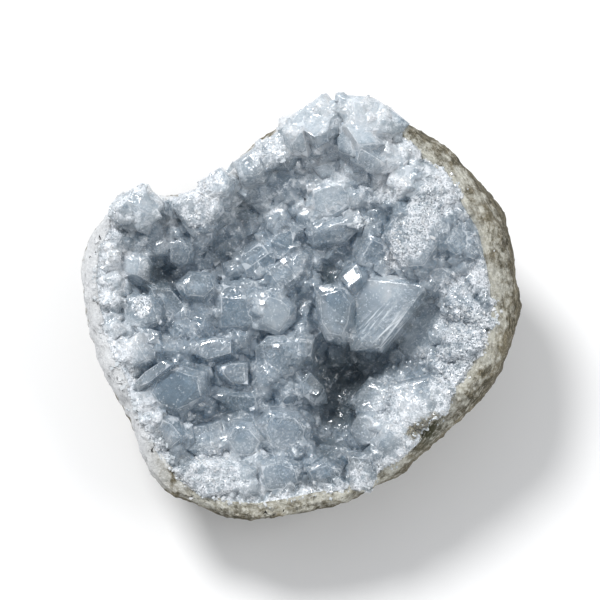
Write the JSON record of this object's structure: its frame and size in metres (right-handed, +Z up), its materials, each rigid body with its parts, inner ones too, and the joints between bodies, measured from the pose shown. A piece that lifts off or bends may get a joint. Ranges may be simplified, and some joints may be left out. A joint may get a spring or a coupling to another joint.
{
  "type": "celestite crystal cluster",
  "caption": "Piece of a celestite geode: blocky pale blue crystals grown together in the hollow of a lumpy stone rind, on a flat foot.",
  "frame": {"origin": "middle of the flat foot that the piece rests on", "axes": "+Z up; +X to the right as one looks into the hollow, which leans towards -Y"},
  "size_m": [0.0899, 0.0845, 0.0519],
  "materials": {
    "weathered_stone": "rough, chalky weathered limestone with dark green-grey specks",
    "celestite": "glassy crystal faces over cloudy pale blue, sugary white near the rim"
  },
  "bodies": {
    "root": {"stone_rind": "weathered_stone", "crystal_crust": "celestite"}
  },
  "joints": []
}
